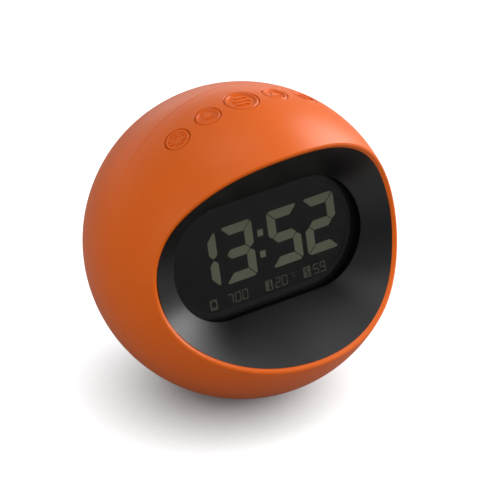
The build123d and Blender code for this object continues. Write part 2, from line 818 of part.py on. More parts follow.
# Ribbon from the rear edge of the strip down to its connector
with BuildPart() as button_ribbon:
    ribbon_start = strip_width / 2
    ribbon_top = bracket_top + strip_thickness / 2
    ribbon_entry = connector_up + connector_width / 2
    ribbon_depth = board_back - connector_height / 2
    entry_low = flank.to_local_coords(front.from_local_coords((0, ribbon_entry, ribbon_depth)))
    entry_high = flank.to_local_coords(
        front.from_local_coords((0, ribbon_entry + ribbon_lead_in, ribbon_depth)))
    with BuildSketch(flank):
        with BuildLine():
            FilletPolyline(
                (ribbon_start, ribbon_top),
                (ribbon_start + ribbon_reach, ribbon_top),
                (ribbon_start + ribbon_reach, entry_high.Y + ribbon_drop),
                (entry_high.X, entry_high.Y),
                (entry_low.X, entry_low.Y),
                radius=ribbon_bend,
            )
        trace(line_width=strip_thickness)
    extrude(amount=ribbon_width / 2, both=True)
button_ribbon.part.label = "button_ribbon"
export_step(button_ribbon.part, "parts/button_ribbon.step")

# Four screws from the wells of the rear half into the posts of the front half
with BuildPart() as case_screws:
    for post_x, post_y in case_post_spots:
        add(screw(place(back, -post_x, post_y, seam_setback + well_floor), case_screw_radius,
                  well_floor + case_screw_bite - screw_gap, case_screw_head_radius, case_screw_head_height))
case_screws.part.label = "case_screws"
export_step(case_screws.part, "parts/case_screws.step")

# Rim of the battery compartment, stuck inside the rear half round the battery opening
with BuildPart() as box_rim:
    with BuildSketch(back.offset(box_back)):
        RectangleRounded(door_length + 2 * box_flange, door_height + 2 * box_flange, door_corner + box_flange)
    extrude(amount=ball_radius)
    with Locations(sideways):
        Sphere(inner_radius - box_gap, mode=Mode.INTERSECT)
    with Locations(sideways):
        Sphere(inner_radius - box_gap - box_flange_thickness, mode=Mode.SUBTRACT)

# Battery compartment: a tray open towards the door
with BuildPart() as battery_box:
    with BuildSketch(back.offset(box_back)):
        RectangleRounded(box_inner_length + 2 * box_wall, box_inner_height + 2 * box_wall, box_corner)
    extrude(amount=ball_radius)
    with Locations(sideways):
        Sphere(inner_radius - box_gap, mode=Mode.INTERSECT)
    add(box_rim.part)
    with BuildSketch(back.offset(box_back + box_floor)):
        Rectangle(box_inner_length, box_inner_height)
    extrude(amount=ball_radius, mode=Mode.SUBTRACT)
battery_box.part.label = "battery_box"
export_step(battery_box.part, "parts/battery_box.step")

# Three slim cells side by side, turned end for end in turn
cell_rows = [cell_pitch * (row - (cell_count - 1) / 2) for row in range(cell_count)]
with BuildPart() as battery_cells:
    for row, cell_y in enumerate(cell_rows):
        way = 1 if row % 2 == 0 else -1
        cell_spot = back.from_local_coords((0, cell_y, cell_level))
        cell_plane = Plane(origin=cell_spot, x_dir=back.z_dir, z_dir=way * back.x_dir)
        cell_end = (cell_length + cell_nub_length) / 2
        with BuildSketch(cell_plane.offset(-cell_end)):
            Circle(cell_radius)
        extrude(amount=cell_length)
        with BuildSketch(cell_plane.offset(cell_end - cell_nub_length)):
            Circle(cell_nub_radius)
        extrude(amount=cell_nub_length)
battery_cells.part.label = "battery_cells"
export_step(battery_cells.part, "parts/battery_cells.step")

# Sprung contact plates: a single and a bridging one at each end put the cells in series
with BuildPart() as battery_contacts:
    for end_side, groups in ((1, (cell_rows[:1], cell_rows[1:])), (-1, (cell_rows[:-1], cell_rows[-1:]))):
        end_spot = back.from_local_coords((end_side * box_inner_length / 2, 0, cell_level))
        end_plane = Plane(origin=end_spot, x_dir=back.y_dir, z_dir=-end_side * back.x_dir)
        for rows in groups:
            with BuildSketch(end_plane):
                with Locations(((rows[0] + rows[-1]) / 2, 0)):
                    Rectangle(contact_width + rows[-1] - rows[0], contact_width)
            extrude(amount=contact_thickness)
            with BuildSketch(end_plane.offset(contact_thickness)):
                with Locations(*[(cell_y, 0) for cell_y in rows]):
                    Circle(contact_dome_radius)
            extrude(amount=contact_dome, taper=contact_dome_taper)
battery_contacts.part.label = "battery_contacts"
export_step(battery_contacts.part, "parts/battery_contacts.step")

# Battery door: a piece of the ball with two locating tongues below and a latch tongue above
with BuildPart() as door_tongues:
    tongue_y = box_inner_height / 2 - door_gap - tongue_thickness / 2
    tongue_corner = tongue_spread / 2 + tongue_width / 2
    tongue_level = sqrt(inner_radius**2 - tongue_corner**2 - tongue_y**2) - tongue_length
    with BuildSketch(back.offset(tongue_level)):
        with Locations((-tongue_spread / 2, -tongue_y), (tongue_spread / 2, -tongue_y)):
            Rectangle(tongue_width, tongue_thickness)
        with Locations((0, tongue_y)):
            Rectangle(latch_width, tongue_thickness)
    extrude(amount=ball_radius)
    with Locations(sideways):
        Sphere(inner_radius + wall / 2, mode=Mode.INTERSECT)
with BuildPart() as battery_door:
    with BuildSketch(back.offset(box_back)):
        RectangleRounded(door_length, door_height, door_corner)
    extrude(amount=ball_radius)
    with Locations(sideways):
        Sphere(ball_radius, mode=Mode.INTERSECT)
    with Locations(sideways):
        Sphere(inner_radius, mode=Mode.SUBTRACT)
    add(door_tongues.part)
battery_door.part.label = "battery_door"
export_step(battery_door.part, "parts/battery_door.step")

# Power inlet: a pressed metal shell, the plastic insert in it and its small board
with BuildPart() as power_socket:
    with BuildSketch(inlet.offset(inlet_face)):
        RectangleRounded(socket_length, socket_height, socket_corner)
        offset(amount=-socket_skin, mode=Mode.SUBTRACT)
    extrude(amount=-socket_depth)
power_socket.part.label = "power_socket"
export_step(power_socket.part, "parts/power_socket.step")

with BuildPart() as socket_insert:
    with BuildSketch(inlet.offset(inlet_face - socket_depth)):
        Rectangle(socket_length - 2 * socket_corner, socket_height - 2 * socket_skin - 2 * solder_gap)
    extrude(amount=socket_insert_depth)
    with BuildSketch(inlet.offset(inlet_face - socket_depth)):
        Rectangle(socket_tongue_length, socket_tongue_height)
    extrude(amount=socket_depth - socket_height / 2)
socket_insert.part.label = "socket_insert"
export_step(socket_insert.part, "parts/socket_insert.step")

with BuildPart() as power_board:
    with BuildSketch(inlet.offset(inlet_pad_back)):
        with Locations((0, -socket_height / 2)):
            Rectangle(power_board_length, power_board_thickness, align=(Align.CENTER, Align.MAX))
    extrude(amount=-power_board_depth)
power_board.part.label = "power_board"
export_step(power_board.part, "parts/power_board.step")

# Alarm sounder against its ring behind the sound holes
with BuildPart() as alarm_sounder:
    with BuildSketch(sounder_side.offset(sounder_seat)):
        Circle(sounder_radius)
    extrude(amount=-sounder_height)
    with BuildSketch(sounder_side.offset(sounder_seat)):
        Circle(sounder_vent_radius)
    extrude(amount=-sounder_height / 2, mode=Mode.SUBTRACT)
alarm_sounder.part.label = "alarm_sounder"
export_step(alarm_sounder.part, "parts/alarm_sounder.step")


def lead(start, start_way, end, end_way):
    """Insulated wire that leaves one piece straight, bends and meets the other piece straight."""
    with BuildPart() as wire:
        with BuildLine() as route:
            Polyline(start, start + start_way * lead_run, end + end_way * lead_run, end)
        with BuildSketch(Plane(origin=route.line @ 0, z_dir=route.line % 0)):
            Circle(lead_radius)
        sweep(path=route.line, transition=Transition.RIGHT)
    return wire.part


# Leads from the battery compartment, the power inlet and the sounder to the main board
side_lead_spot = frame_half_length - side_lead_inset
with BuildPart() as battery_leads:
    for lead_side in (-1, 1):
        add(lead(back.from_local_coords((lead_side * battery_lead_start, -battery_lead_drop, box_back)),
                 -back.z_dir,
                 back.from_local_coords((lead_side * lead_spacing / 2, board_lead_inset - frame_half_height,
                                         -board_back)),
                 back.z_dir))
battery_leads.part.label = "battery_leads"
export_step(battery_leads.part, "parts/battery_leads.step")

with BuildPart() as power_leads:
    lead_exit = inlet_pad_back - power_board_depth
    lead_drop = -(socket_height + power_board_thickness) / 2
    for lead_side in (-1, 1):
        add(lead(inlet.from_local_coords((lead_side * lead_spacing / 2, lead_drop, lead_exit)),
                 -inlet.z_dir,
                 back.from_local_coords((side_lead_spot + lead_side * lead_spacing / 2, side_lead_up,
                                         -board_back)),
                 back.z_dir))
power_leads.part.label = "power_leads"
export_step(power_leads.part, "parts/power_leads.step")

with BuildPart() as sounder_leads:
    for lead_side in (-1, 1):
        add(lead(sounder_side.from_local_coords((0, lead_side * lead_spacing / 2,
                                                 sounder_seat - sounder_height)),
                 -sounder_side.z_dir,
                 back.from_local_coords((-side_lead_spot, side_lead_up + lead_side * lead_spacing / 2,
                                         -board_back)),
                 back.z_dir))
sounder_leads.part.label = "sounder_leads"
export_step(sounder_leads.part, "parts/sounder_leads.step")
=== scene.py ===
# %% [markdown]
# # Dressing a ball-shaped alarm clock
# The clock is an orange plastic ball with a flat base, a dark bowl sunk into its front and five round
# buttons over the top. Its solids come from a CAD frame that is loaded here and never moved. This lesson
# gives every solid a finish, adds the thin things that CAD leaves out, such as the figures on the display
# and the signs on the buttons, and sets up the floor, the lamps and the camera.

import json
import math

import bmesh
import bpy
from mathutils import Matrix, Vector

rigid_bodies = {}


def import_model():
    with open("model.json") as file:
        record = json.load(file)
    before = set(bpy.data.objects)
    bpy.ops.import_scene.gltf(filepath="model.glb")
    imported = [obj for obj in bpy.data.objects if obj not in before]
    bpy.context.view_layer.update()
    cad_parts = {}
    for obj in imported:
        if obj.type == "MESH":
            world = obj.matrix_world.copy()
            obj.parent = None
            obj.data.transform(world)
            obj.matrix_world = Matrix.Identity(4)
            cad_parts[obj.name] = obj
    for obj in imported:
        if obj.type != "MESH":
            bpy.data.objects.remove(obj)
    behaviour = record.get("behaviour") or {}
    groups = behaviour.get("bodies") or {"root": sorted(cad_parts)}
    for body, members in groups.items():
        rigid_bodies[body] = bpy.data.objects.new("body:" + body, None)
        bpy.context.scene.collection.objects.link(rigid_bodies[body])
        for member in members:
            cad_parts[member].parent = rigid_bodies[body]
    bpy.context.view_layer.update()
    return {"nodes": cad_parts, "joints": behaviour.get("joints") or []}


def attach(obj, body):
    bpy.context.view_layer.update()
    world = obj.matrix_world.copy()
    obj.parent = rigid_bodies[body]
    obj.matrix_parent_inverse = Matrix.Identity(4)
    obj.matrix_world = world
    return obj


for leftover in list(bpy.data.objects):
    bpy.data.objects.remove(leftover)
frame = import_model()
nodes = frame["nodes"]

# %% [markdown]
# ## The clock's own directions
# The ball's centre is the origin of everything on this clock. The display leans back by 15 degrees, so
# its figures are drawn flat, in millimetres, and one matrix turns them up and moves them to the ball's
# centre. The buttons lie on an arc over the top, and each has a matrix of the same kind that turns about
# the front-to-back axis, by an angle that comes from the direction in which the frame's joint presses the
# button. With such matrices every drawing stays a simple flat one.

# %% Matrices for the display and the buttons
mm = 0.001
ball_radius, ball_height = 56.5, 53.5
lean = math.radians(15)
ball_centre = Vector((0, 0, ball_height * mm))
to_metres = Matrix.Scale(mm, 4)
display_turn = Matrix.Rotation(math.radians(90) - lean, 4, "X")
display_place = Matrix.Translation(ball_centre) @ display_turn @ to_metres
button_angles = {}
for joint in frame["joints"]:
    if joint["name"].endswith("_press"):
        inward = Vector(joint["axis"])
        button_angles[joint["name"].removesuffix("_press")] = math.atan2(-inward.x, -inward.z)


def button_place(button):
    """Turns a drawing in millimetres so that its Z runs out through that button."""
    turn = Matrix.Rotation(button_angles[button], 4, "Y")
    return Matrix.Translation(ball_centre) @ turn @ to_metres


print("display looks along", tuple(round(c, 3) for c in display_turn.col[2][:3]))
print("buttons at", {button: round(math.degrees(angle), 2) for button, angle in button_angles.items()})

# %% [markdown]
# ## How a finish is made
# A finish is a material with one Principled shader. What is the same all over, such as roughness, is set
# on the shader itself. Two small helpers add what makes plastic, rubber and board look real when seen
# close: a faint cloudy change of colour and a fine grain that bends the light. Both read Object
# coordinates, so the pattern stays fixed to the solid in every pose.

# %% Helpers for finishes
def new_finish(name, colour, roughness, metallic=0.0, specular=0.5):
    """A material with one Principled shader and these plain values."""
    finish = bpy.data.materials.new(name)
    finish.use_nodes = True
    shader = finish.node_tree.nodes["Principled BSDF"]
    shader.inputs["Base Color"].default_value = (*colour, 1)
    shader.inputs["Roughness"].default_value = roughness
    shader.inputs["Metallic"].default_value = metallic
    shader.inputs["Specular IOR Level"].default_value = specular
    return finish


def object_noise(finish, scale, detail, stretch):
    """A noise texture on Object coordinates, in cycles per metre, that can be stretched along an axis."""
    tree = finish.node_tree
    where = tree.nodes.new("ShaderNodeTexCoord")
    spread = tree.nodes.new("ShaderNodeMapping")
    spread.inputs["Scale"].default_value = stretch
    noise = tree.nodes.new("ShaderNodeTexNoise")
    noise.inputs["Scale"].default_value = scale
    noise.inputs["Detail"].default_value = detail
    tree.links.new(where.outputs["Object"], spread.inputs["Vector"])
    tree.links.new(spread.outputs["Vector"], noise.inputs["Vector"])
    return noise.outputs["Fac"]


def cloud(finish, scale, dark, light, stretch=(1, 1, 1)):
    """Lets the base colour wander softly between two tones."""
    tree = finish.node_tree
    ramp = tree.nodes.new("ShaderNodeValToRGB")
    for element, position, tone in zip(ramp.color_ramp.elements, (0.3, 0.7), (dark, light)):
        element.position = position
        element.color = (*tone, 1)
    tree.links.new(object_noise(finish, scale, detail=3.0, stretch=stretch), ramp.inputs["Fac"])
    tree.links.new(ramp.outputs["Color"], tree.nodes["Principled BSDF"].inputs["Base Color"])


def grain(finish, scale, height, edge=0.0, stretch=(1, 1, 1)):
    """A fine relief of that height in millimetres, and edges that look rounded by that radius."""
    tree = finish.node_tree
    bump = tree.nodes.new("ShaderNodeBump")
    bump.inputs["Distance"].default_value = height * mm
    tree.links.new(object_noise(finish, scale, detail=2.0, stretch=stretch), bump.inputs["Height"])
    if edge:
        soften = tree.nodes.new("ShaderNodeBevel")
        soften.samples = 6
        soften.inputs["Radius"].default_value = edge * mm
        tree.links.new(soften.outputs["Normal"], bump.inputs["Normal"])
    tree.links.new(bump.outputs["Normal"], tree.nodes["Principled BSDF"].inputs["Normal"])


dressed = {}


def dress(finish, *names):
    """Puts a finish on these CAD solids."""
    for name in names:
        nodes[name].data.materials.clear()
        nodes[name].data.materials.append(finish)
        dressed[name] = finish.name
    print(finish.name, "on", len(names), "solids")


# %% [markdown]
# ## Arithmetic in a shader
# Some looks depend on where a point lies or on what kind of ray asks for it. A shader works that out with
# Math and Map Range nodes, one for each step. Two helpers add such a node and return its output, so that a
# chain of steps reads like a line of sums.

# %% Helpers for shader arithmetic
def node_math(tree, operation, *values):
    """One step of arithmetic. A value is a number or the output of another node."""
    step = tree.nodes.new("ShaderNodeMath")
    step.operation = operation
    for socket, value in zip(step.inputs, values):
        if isinstance(value, (int, float)):
            socket.default_value = value
        else:
            tree.links.new(value, socket)
    return step.outputs["Value"]


def node_range(tree, value, start, end, low=0.0, high=1.0):
    """Goes from low to high, and no further, while the value goes from start to end."""
    step = tree.nodes.new("ShaderNodeMapRange")
    for socket, number in zip(("From Min", "From Max", "To Min", "To Max"), (start, end, low, high)):
        step.inputs[socket].default_value = number
    tree.links.new(value, step.inputs["Value"])
    return step.outputs["Result"]


# %% [markdown]
# ## Orange housing
# The shells, the buttons and the battery door are moulded in one orange plastic with a silky skin: a
# soft highlight, and a pale sheen where the ball turns away. A roughness of about 0.4 gives that width of
# highlight. The edges of a moulding are never quite sharp, so a Bevel node rounds them in the shading.

# %% Orange plastic
caps = [button + "_button" for button in button_angles]
orange = new_finish("orange_plastic", (0.77, 0.124, 0.002), roughness=0.40, specular=0.4)
cloud(orange, 60, dark=(0.765, 0.121, 0.0018), light=(0.785, 0.127, 0.0022))
grain(orange, 2500, height=0.006, edge=0.15)
dress(orange, "front_shell", "rear_shell", "battery_door", *caps)

# %% [markdown]
# ## Dark bowl
# The bowl round the display is charcoal plastic with a satin skin. It is almost black by itself and lives
# from its reflections, so the base colour is very low and the roughness does the work. The short wall
# round the window and the frames behind it are matt, so that nothing lights up beside the display. One
# material can't be both, so there are two, and the satin one is kept for the face of the bowl further down.

# %% Charcoal plastics
charcoal = new_finish("charcoal_plastic", (0.005, 0.005, 0.005), roughness=0.385, specular=0.66)
cloud(charcoal, 80, dark=(0.0045, 0.0045, 0.0045), light=(0.0055, 0.0055, 0.0056))
grain(charcoal, 3000, height=0.004)
matt_black = new_finish("matt_black_plastic", (0.003, 0.003, 0.003), roughness=0.6, specular=0.03)
cloud(matt_black, 120, dark=(0.002, 0.002, 0.002), light=(0.004, 0.004, 0.004))
grain(matt_black, 2000, height=0.01, edge=0.25)
dress(matt_black, "display_bezel", "lcd_frame", "battery_box", "switch_bracket")

# %% [markdown]
# ## Smoked window
# The window is a clear sheet with a smoke tint and a polished face. Light passes straight through it, so a
# Transparent shader carries the view, and a Mix Shader lays a black mirror-smooth skin over it that darkens
# what is behind and adds the reflections. True glass would bend the light too, which a thin flat sheet
# hardly shows, and it would take far longer.

# %% Smoked window
skin_share = 0.3
smoke = new_finish("smoked_window", (0.002, 0.002, 0.002), roughness=0.0, specular=0.64)
smoke_tree = smoke.node_tree
see_through = smoke_tree.nodes.new("ShaderNodeBsdfTransparent")
see_through.inputs["Color"].default_value = (1, 1, 1, 1)
skin = smoke_tree.nodes.new("ShaderNodeMixShader")
skin.inputs["Fac"].default_value = skin_share
smoke_tree.links.new(see_through.outputs["BSDF"], skin.inputs[1])
smoke_tree.links.new(smoke_tree.nodes["Principled BSDF"].outputs["BSDF"], skin.inputs[2])
smoke_tree.links.new(skin.outputs["Shader"], smoke_tree.nodes["Material Output"].inputs["Surface"])
dress(smoke, "display_lens")

# %% [markdown]
# ## Display glass
# The display is of the kind whose ground is black and whose figures are pale. The grey that one sees there
# is the window's reflection, on its face and again on its back, so the glass itself is nearly black. The
# border print that goes on the back of the window further down shows only one of these two reflections,
# so it is a little lighter, and the two look the same.

# %% Display glass and border print
display_glass = new_finish("display_glass", (0.004, 0.004, 0.004), roughness=0.3, specular=0.0)
cloud(display_glass, 120, dark=(0.0035, 0.0035, 0.0037), light=(0.0045, 0.0045, 0.0045))
dress(display_glass, "lcd_panel")
border_print = new_finish("border_print", (0.02, 0.02, 0.02), roughness=0.6, specular=0.0)
cloud(border_print, 400, dark=(0.019, 0.019, 0.019), light=(0.021, 0.021, 0.021))

# %% [markdown]
# ## Pale figures
# Lit figures on such a display are a dull grey-green, like the metal ground behind the crystal. Each
# figure is a thin plate in the narrow gap between the display glass and the window. A faint emission on
# them is a painted glow, which keeps them at this level in the shade of the bowl. The small row below the
# time is dimmer, so it has a finish of its own.

# %% Figure finishes
def figure_with_painted_glow(name, level):
    """The grey-green of a lit figure with a faint painted glow, at that share of full brightness."""
    tone = Vector((0.31, 0.32, 0.215)) * level
    finish = new_finish(name, tone, roughness=0.7, specular=0.1)
    cloud(finish, 900, dark=tone * 0.97, light=tone * 1.03)
    shader = finish.node_tree.nodes["Principled BSDF"]
    # Painted glow: a faint emission that keeps the figures at this level in the bowl's shade.
    shader.inputs["Emission Color"].default_value = (0.65, 0.67, 0.43, 1)
    shader.inputs["Emission Strength"].default_value = 0.05 * level
    return finish


figure_green = figure_with_painted_glow("figure_green", 1.0)
row_green = figure_with_painted_glow("row_green", 0.52)
print("figures:", figure_green.name, "and", row_green.name)

# %% [markdown]
# ## From a drawing to a piece
# Every thin thing on this clock starts as a flat drawing in millimetres. One helper raises it between two
# levels, turns it to its place, and hangs it on the body that carries it, so that it follows the pose.

# %% Helper that raises a drawing
def raise_piece(drawing, name, levels, place, finish, body):
    """Raises a flat drawing from the lower level to the upper one and makes it a piece of a body."""
    low, high = levels
    bmesh.ops.translate(drawing, verts=drawing.verts, vec=(0, 0, low))
    raised = bmesh.ops.extrude_face_region(drawing, geom=list(drawing.faces))
    top = [part for part in raised["geom"] if isinstance(part, bmesh.types.BMVert)]
    bmesh.ops.translate(drawing, verts=top, vec=(0, 0, high - low))
    bmesh.ops.recalc_face_normals(drawing, faces=list(drawing.faces))
    bmesh.ops.transform(drawing, matrix=place, verts=drawing.verts)
    mesh = bpy.data.meshes.new(name)
    drawing.to_mesh(mesh)
    drawing.free()
    mesh.materials.append(finish)
    piece = bpy.data.objects.new(name, mesh)
    bpy.context.scene.collection.objects.link(piece)
    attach(piece, body)
    print(name, "has", len(mesh.polygons), "faces")
    return piece


# %% [markdown]
# ## Seven-bar figures
# A figure is made of up to seven bars. Their ends are cut at 45 degrees where two bars meet at a corner,
# and to a point at the middle. One function draws any bar from the figure's width, height and bar
# thickness, so the large time and the small row below use the same drawing. The figures lean slightly.

# %% Draw the bars of a figure
figure_bars = {
    0: "abcdef",
    1: "bc",
    2: "abged",
    3: "abgcd",
    5: "afgcd",
    7: "abc",
    9: "abcdfg",
    "C": "afed",
}
figure_slant = 0.022


def draw_figure(drawing, figure, centre_x, centre_y, width, height, bar, gap):
    """Adds the bars of one figure as flat faces. The figure's outer corners are rounded."""
    right, top = width / 2, height / 2
    inside, below = right - bar, top - bar
    cut, corner = gap * 0.7, bar * 0.45
    tip, outer_tip, inner_tip = gap * 0.8, bar * 0.436, bar * 0.56
    arc = [math.radians(15 * step) for step in range(4)]
    rounding = [(corner * (1 - math.cos(t)), corner * (1 - math.sin(t))) for t in arc]
    upright = [(right - x, top - cut - y) for x, y in rounding[::-1]]
    upright += [(right, outer_tip), (right - bar / 2, tip), (inside, inner_tip), (inside, below - cut)]
    right_end = [(right - cut - y, top - x) for x, y in rounding]
    level = right_end + [(inside - cut, below), (cut - inside, below)]
    level += [(-x, y) for x, y in right_end[::-1]]
    middle_end, middle_side = right - bar / 2 - gap / 2, inside - gap / 2
    right_half = [(middle_side, -bar / 2), (middle_end, 0), (middle_side, bar / 2)]
    middle = right_half + [(-x, y) for x, y in right_half[::-1]]
    bars = {
        "a": (level, 1, 1),
        "b": (upright, 1, 1),
        "c": (upright, 1, -1),
        "d": (level, 1, -1),
        "e": (upright, -1, -1),
        "f": (upright, -1, 1),
        "g": (middle, 1, 1),
    }
    for name in figure_bars[figure]:
        shape, flip_x, flip_y = bars[name]
        corners = []
        for x, y in shape:
            x, y = x * flip_x, y * flip_y
            corners.append(drawing.verts.new((centre_x + x + figure_slant * y, centre_y + y, 0)))
        drawing.faces.new(corners)


# %% [markdown]
# ## Boxes, rings and a bell
# The other drawings need only a few shapes. A grid with one cell is a box, and with more cells along its
# length it can be bent into a wave later. Two circles that are bridged are a ring. The bell is drawn once,
# because the same sign stands on the display and on a button.

# %% Draw boxes, rings and a bell
def draw_box(drawing, x_low, x_high, y_low, y_high, steps=1):
    """Adds a flat rectangle, in that many steps along its length, and returns its vertices."""
    place = Matrix.Translation(((x_low + x_high) / 2, (y_low + y_high) / 2, 0))
    place = place @ Matrix.Diagonal(((x_high - x_low) / 2, (y_high - y_low) / 2, 1, 1))
    return bmesh.ops.create_grid(drawing, x_segments=steps, y_segments=1, size=1.0, matrix=place)["verts"]


def draw_bell(drawing, centre_x, centre_y, scale=1.0):
    """Adds a flat bell with its clapper, 2.1 mm wide at a scale of 1."""
    right_side = [(1.05, -1.0), (0.9, -0.5), (0.88, 0.5), (0.5, 1.15)]
    outline = right_side + [(-x, y) for x, y in right_side[::-1]]
    corners = [(centre_x + x * scale, centre_y + y * scale, 0) for x, y in outline]
    drawing.faces.new([drawing.verts.new(corner) for corner in corners])
    half_clapper, clapper_low, clapper_high = 0.3 * scale, centre_y - 1.5 * scale, centre_y - 1.15 * scale
    draw_box(drawing, centre_x - half_clapper, centre_x + half_clapper, clapper_low, clapper_high)


def bridged_ring(segments, inner=1.0, outer=2.0):
    """A new drawing of a flat ring between two circles."""
    ring = bmesh.new()
    for radius in (inner, outer):
        bmesh.ops.create_circle(ring, radius=radius, segments=segments)
    bmesh.ops.bridge_loops(ring, edges=list(ring.edges))
    return ring


def spin(drawing, verts, degrees):
    """Turns these vertices about the drawing's origin."""
    turn = Matrix.Rotation(math.radians(degrees), 3, "Z")
    bmesh.ops.rotate(drawing, verts=verts, cent=(0, 0, 0), matrix=turn)


# %% [markdown]
# ## Time
# The four large figures and the colon between them are one piece. Places are in millimetres from the
# display's axis.

# %% Large figures of the time
figure_low, figure_high = 12.40, 12.45
figure_levels = (figure_low, figure_high)
time_size = dict(centre_y=0.79, width=13.5, height=20.85, bar=3.45, gap=0.32)
dot_half_width, dot_half_height = 1.15, 1.22
time_drawing = bmesh.new()
for figure, x in ((1, -25.08), (3, -9.44), (5, 10.53), (2, 26.08)):
    draw_figure(time_drawing, figure, x, **time_size)
for x, y in ((0.55, 4.81), (0.345, -3.04)):
    draw_box(time_drawing, x - dot_half_width, x + dot_half_width, y - dot_half_height, y + dot_half_height)
raise_piece(time_drawing, "time_figures", figure_levels, display_place, figure_green, "clock")

# %% [markdown]
# ## Small row
# Below the time runs a row of small, dimmer figures: the alarm time, the temperature and the seconds, each
# behind a small plate with a dark sign in it: a bell, a thermometer and a letter for seconds.

# %% Small figures
row_low, row_high = -17.0, -13.15
row_size = dict(centre_y=(row_low + row_high) / 2, width=2.4, height=3.8, bar=0.38, gap=0.1)
unit_size = dict(centre_y=-14.3, width=1.1, height=1.8, bar=0.18, gap=0.05)
colon_left, colon_right, colon_half_height = -14.3, -14.05, 0.18
plate_half_width = 1.53
row_drawing = bmesh.new()
for figure, x in ((7, -15.75), (0, -12.55), (0, -9.45), (2, 4.65), (0, 7.6), (5, 21.35), (9, 24.25)):
    draw_figure(row_drawing, figure, x, **row_size)
for y in (-14.35, -15.8):
    draw_box(row_drawing, colon_left, colon_right, y - colon_half_height, y + colon_half_height)
draw_figure(row_drawing, "C", 11.95, **unit_size)
draw_box(row_drawing, 10.45, 10.85, -13.8, -13.4)  # degree mark
for x in (-22.95, 0.86, 17.39):
    draw_box(row_drawing, x - plate_half_width, x + plate_half_width, row_low, row_high)
raise_piece(row_drawing, "small_row", figure_levels, display_place, row_green, "clock")

# %% Dark signs on the three small plates
dark_levels = (figure_high, figure_high + 0.02)
bulb_place = Matrix.Translation((1.22, -16.0, 0))
dark_drawing = bmesh.new()
draw_bell(dark_drawing, -22.9, -14.9)
draw_box(dark_drawing, 0.95, 1.5, -15.7, -13.55)  # stem of the thermometer
bmesh.ops.create_circle(dark_drawing, cap_ends=True, radius=0.68, segments=16, matrix=bulb_place)
draw_figure(dark_drawing, 5, 17.4, centre_y=-15.1, width=1.75, height=2.8, bar=0.5, gap=0.0)
raise_piece(dark_drawing, "small_signs", dark_levels, display_place, display_glass, "clock")

# %% [markdown]
# ## Satin face of the bowl
# The bowl runs in straight lines from the window's edge to the rim of the opening, and its reflections
# flow round it without a break. A thin coat over the CAD solid gives that smooth face. A ring's spokes are
# subdivided, and then every vertex moves out along its own direction: from the window's outline, a slot,
# to the opening's outline, a superellipse. Both outlines are shares of the ball's radius, as in the CAD.

# %% Outlines of the window and of the opening
wall, bowl_depth, opening_power = 2.0, 5.8, 2.2
window_half_length, window_half_height = ball_radius * 0.708, ball_radius * 0.367
opening_half_width, opening_half_height = ball_radius * 0.915, ball_radius * 0.68
window_level = math.sqrt(ball_radius**2 - opening_half_width**2) - bowl_depth
inner_radius = ball_radius - wall


def window_reach(turn, grow=0.0):
    """Distance from the display axis to the window's outline, a slot with round ends, grown by so much."""
    along, across = abs(math.cos(turn)), abs(math.sin(turn))
    height = window_half_height + grow
    run = window_half_length - window_half_height
    if height * along <= run * across:
        return height / across
    return run * along + math.sqrt(height**2 - (run * across) ** 2)


def opening_reach(turn):
    """Distance from the display axis to the opening's outline on the inside of the shell."""
    wide = abs(math.cos(turn) / opening_half_width) ** opening_power
    high = abs(math.sin(turn) / opening_half_height) ** opening_power
    return (wide + high) ** (-1 / opening_power) * inner_radius / ball_radius


for outline in (window_reach, opening_reach):
    print(outline.__name__, [round(outline(math.radians(angle)), 1) for angle in (0, 45, 90)])

# %% Coat on the bowl
coat_levels, coat_margin, coat_crease = (0.08, 0.2), 0.02, math.radians(15)
coat = bridged_ring(240)
spokes = [edge for edge in coat.edges if edge.calc_length() > 0.5]
bmesh.ops.subdivide_edges(coat, edges=spokes, cuts=7, use_grid_fill=True)
for vert in coat.verts:
    turn = math.atan2(vert.co.y, vert.co.x)
    share = vert.co.length - 1
    inner, outer = window_reach(turn), opening_reach(turn)
    rim_level = math.sqrt(inner_radius**2 - outer**2)
    reach = inner + (outer - coat_margin - inner) * share
    level = window_level + (rim_level - window_level) * share
    vert.co = (reach * math.cos(turn), reach * math.sin(turn), level)
bowl_face = raise_piece(coat, "bowl_face", coat_levels, display_place, charcoal, "clock")
bowl_face.data.shade_smooth()
bowl_face.data.set_sharp_from_angle(angle=coat_crease)

# %% [markdown]
# ## Border print
# The display glass is a plain rectangle and the window is a slot. On the real clock a black border is
# printed on the back of the window, so the eye sees only the slot. It is a ring again: its outer edge lies
# under the wall of the window, and its inner edge covers the edge of the glass, clear of the figures.

# %% Ring of print on the back of the window
lens_back = 12.5
print_levels = (lens_back, lens_back + 0.02)
border_inside, border_outside = -2.6, 1.0
border = bridged_ring(120)
for vert in border.verts:
    turn = math.atan2(vert.co.y, vert.co.x)
    reach = window_reach(turn, border_outside if vert.co.length > 1.5 else border_inside)
    vert.co = (reach * math.cos(turn), reach * math.sin(turn), 0)
raise_piece(border, "window_border", print_levels, display_place, border_print, "clock")

# %% [markdown]
# ## Signs on the buttons
# Each button carries a raised sign in the same orange: a gear for setting, a bell for the alarm, three
# waves for the snooze button in the middle, a triangle for up and a lamp. The bell's button is the one
# that the frame calls down. The signs stand on the dished floor of the button and stay lower than its rim.
# Each rides on its own button, so that it moves when the button is pressed.

# %% Gear, bell and triangle
sign_levels = (55.75, 56.2)


def button_sign(drawing, button):
    """Raises a sign on the dished floor of a button."""
    name, body = button + "_sign", button + "_key"
    raise_piece(drawing, name, sign_levels, button_place(button), orange, body)


